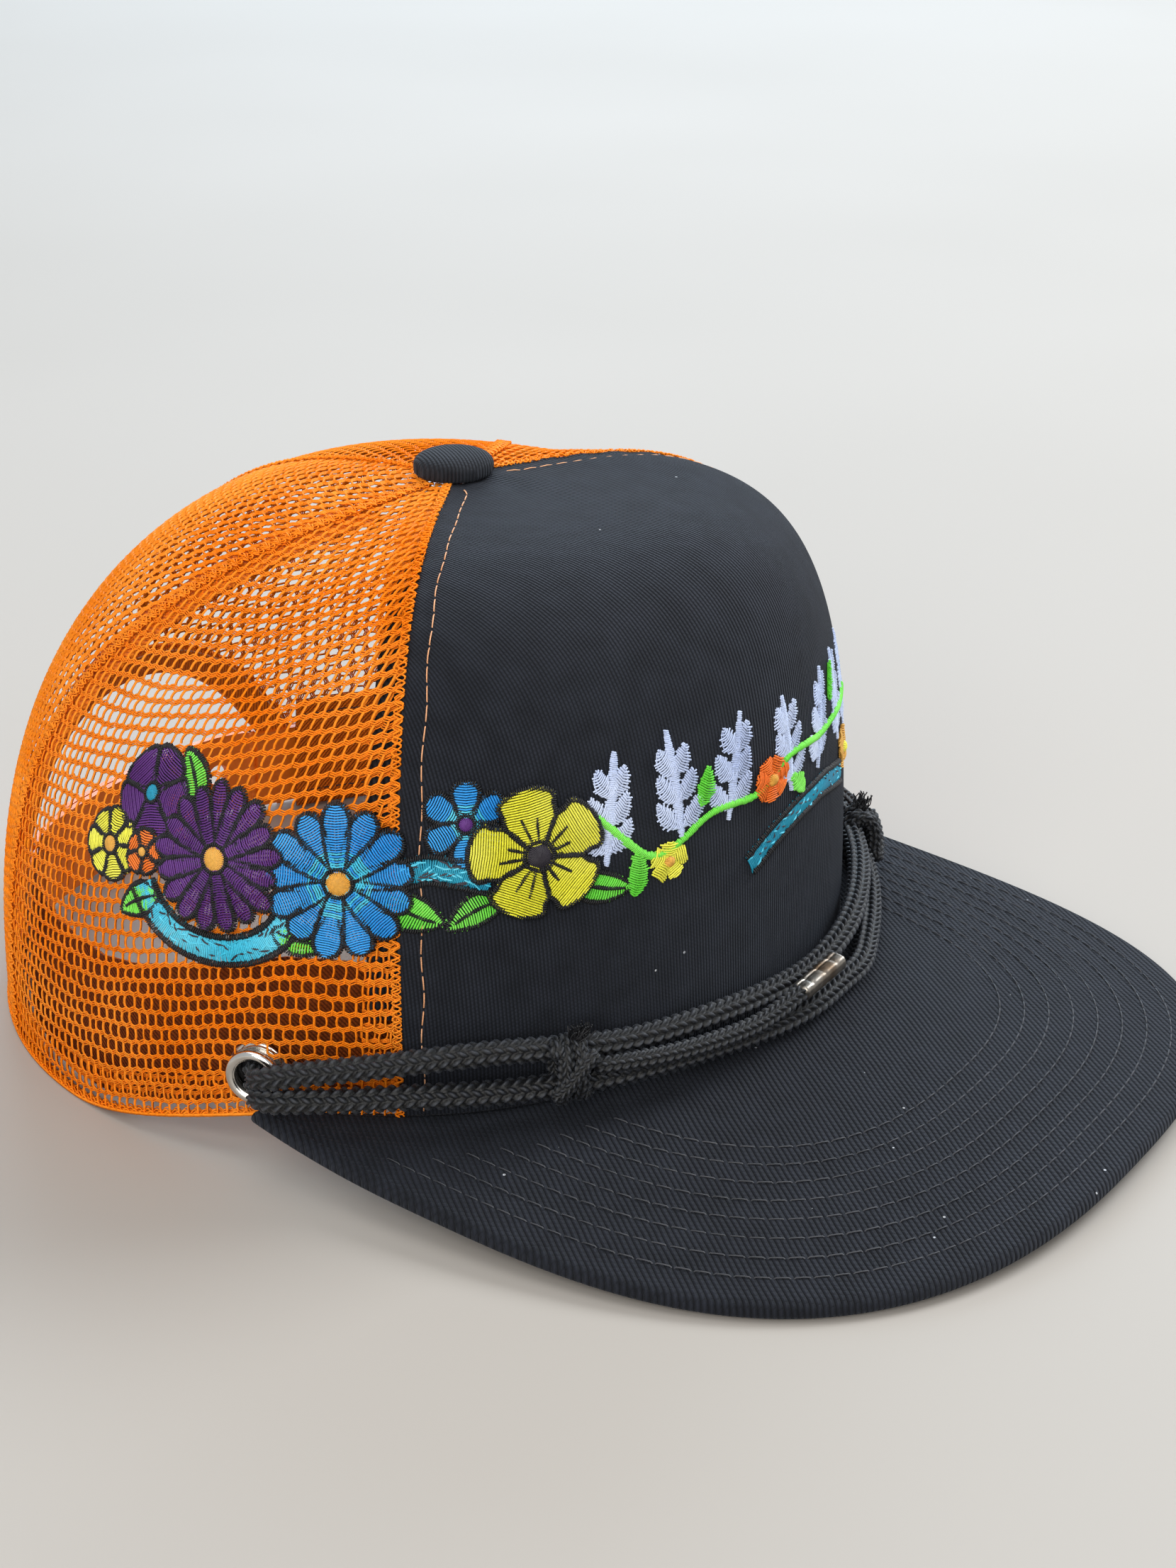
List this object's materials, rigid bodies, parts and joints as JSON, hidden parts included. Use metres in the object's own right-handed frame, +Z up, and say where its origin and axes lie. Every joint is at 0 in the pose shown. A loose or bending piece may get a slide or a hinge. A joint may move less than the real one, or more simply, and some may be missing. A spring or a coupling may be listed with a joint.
{
  "type": "trucker mesh cap",
  "caption": "Trucker cap with a structured twill front, open mesh sides and back, flat visor, snap strap and a braided lace over the visor.",
  "frame": {"origin": "centre of the head opening, on the plane that the rear rim rests on", "axes": "+Z up through the crown, -Y towards the visor's tip, -X towards the wearer's right"},
  "size_m": [0.1912, 0.2541, 0.1152],
  "materials": {
    "black_twill": "matt ribbed twill",
    "visor_twill": "matt twill",
    "buckram": "stiff open weave",
    "orange_mesh": "knitted polyester mesh, satin",
    "orange_fabric": "matt",
    "black_tape": "matt tape",
    "sweatband_cloth": "matt brushed cloth",
    "board_plastic": "matt moulded board",
    "button_cloth": "matt twill",
    "button_metal": "plain pressed metal",
    "nickel": "polished nickel",
    "aglet_metal": "dark nickel with worn brass edge",
    "black_cord": "braided round cord, satin",
    "strap_plastic": "satin moulded plastic",
    "embroidery_thread": "satin thread in several colours"
  },
  "bodies": {
    "crown": {"button_cover": "button_cloth", "button_rivet": "button_metal", "button_shell": "button_metal", "embroidery_front": "embroidery_thread", "embroidery_side": "embroidery_thread", "eyelet_left": "nickel", "eyelet_right": "nickel", "eyelet_washer_left": "nickel", "eyelet_washer_right": "nickel", "front_backing": "buckram", "front_panel": "black_twill", "front_seam_tape_left": "black_tape", "front_seam_tape_right": "black_tape", "hem_left": "orange_fabric", "hem_right": "orange_fabric", "lace_anchor_left": "black_tape", "lace_anchor_right": "black_tape", "rear_arch_binding": "orange_fabric", "rear_mesh_left": "orange_mesh", "rear_mesh_right": "orange_mesh", "rear_seam_tape_left": "orange_fabric", "rear_seam_tape_right": "orange_fabric", "side_mesh_left": "orange_mesh", "side_mesh_right": "orange_mesh", "strap_root_left": "strap_plastic", "strap_root_right": "strap_plastic", "sweatband": "sweatband_cloth", "visor_board": "board_plastic", "visor_top_cover": "visor_twill", "visor_under_cover": "visor_twill"},
    "strap_outer": {"strap_with_holes": "strap_plastic"},
    "strap_inner": {"strap_with_pegs": "strap_plastic"},
    "lace": {"lace_knot_left": "black_cord", "lace_knot_right": "black_cord", "lace_lower_strand": "black_cord", "lace_neck_left": "black_cord", "lace_neck_right": "black_cord", "lace_tail_left": "black_cord", "lace_tail_right": "black_cord", "lace_upper_strand": "black_cord", "aglet_left": "aglet_metal", "aglet_right": "aglet_metal"}
  },
  "joints": [
    {"name": "strap_holes_swing", "type": "hinge", "parent": "crown", "child": "strap_outer", "pos_m": [0.0378, 0.07892, 0.011], "axis": [0, 0, -1], "range_deg": [0, 70]},
    {"name": "strap_pegs_swing", "type": "hinge", "parent": "crown", "child": "strap_inner", "pos_m": [-0.0366, 0.07758, 0.011], "axis": [0, 0, -1], "range_deg": [0, 45]},
    {"name": "lace_lift", "type": "hinge", "parent": "crown", "child": "lace", "pos_m": [0, -0.0251, 0.0185], "axis": [-1, 0, 0], "range_deg": [0, 5]}
  ]
}
